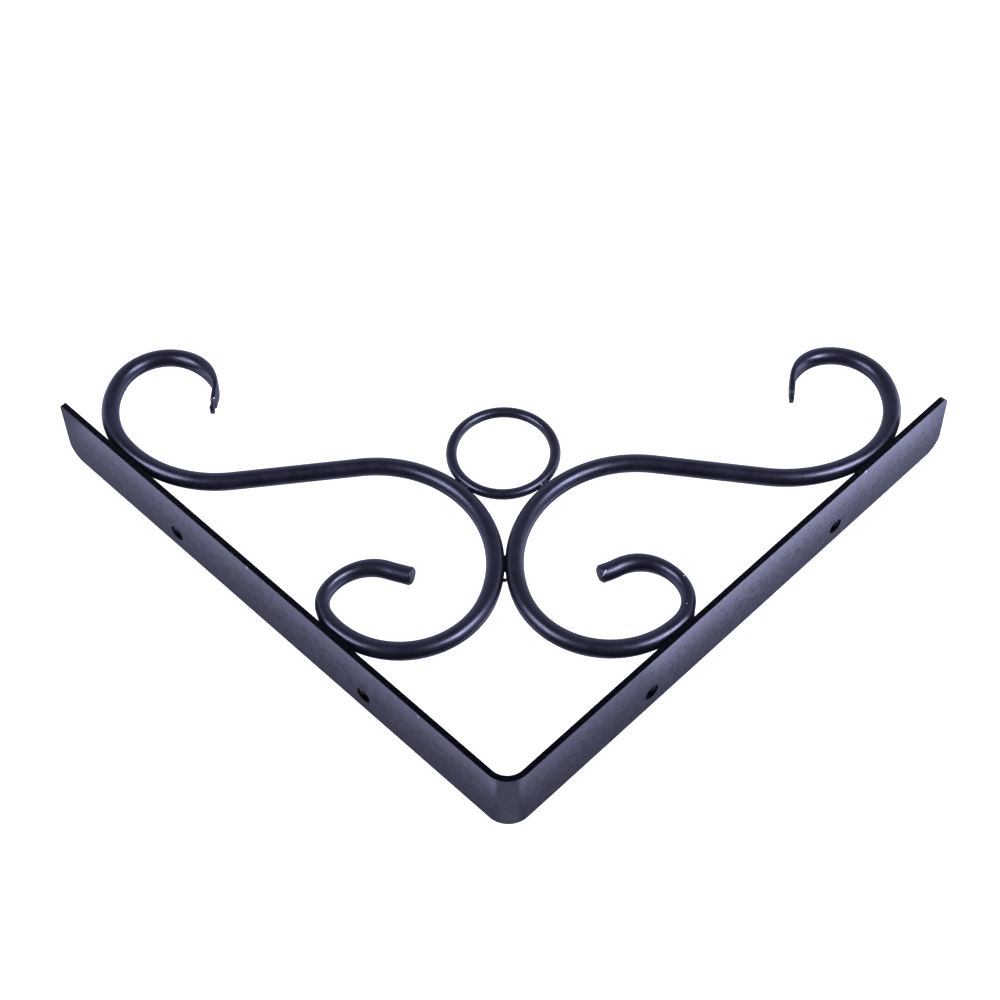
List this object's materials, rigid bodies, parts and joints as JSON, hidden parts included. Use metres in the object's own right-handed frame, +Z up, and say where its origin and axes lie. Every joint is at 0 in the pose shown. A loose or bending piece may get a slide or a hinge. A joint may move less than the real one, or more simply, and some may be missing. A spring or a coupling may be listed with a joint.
{
  "type": "scrolled steel shelf bracket",
  "caption": "L-shaped shelf bracket of bent flat steel, braced by mirrored S-scrolls of round rod with a small ring between them; screw holes in both arms.",
  "frame": {"origin": "on the wall face, at mid-width, about midway between the wall arm's two screw holes and 104 mm below the shelf face", "axes": "+X out from the wall along the shelf arm, +Z up towards the shelf, +Y along the wall across the bar's width, away from the scrolls' side"},
  "size_m": [0.2017, 0.025, 0.1995],
  "materials": {
    "bent_flat_bar_paint": "satin black powder coat",
    "shelf_scroll_paint": "satin black powder coat",
    "wall_scroll_paint": "satin black powder coat",
    "centre_ring_paint": "satin black powder coat"
  },
  "bodies": {
    "root": {"bent_flat_bar": "bent_flat_bar_paint", "shelf_scroll": "shelf_scroll_paint", "wall_scroll": "wall_scroll_paint", "centre_ring": "centre_ring_paint"}
  },
  "joints": []
}
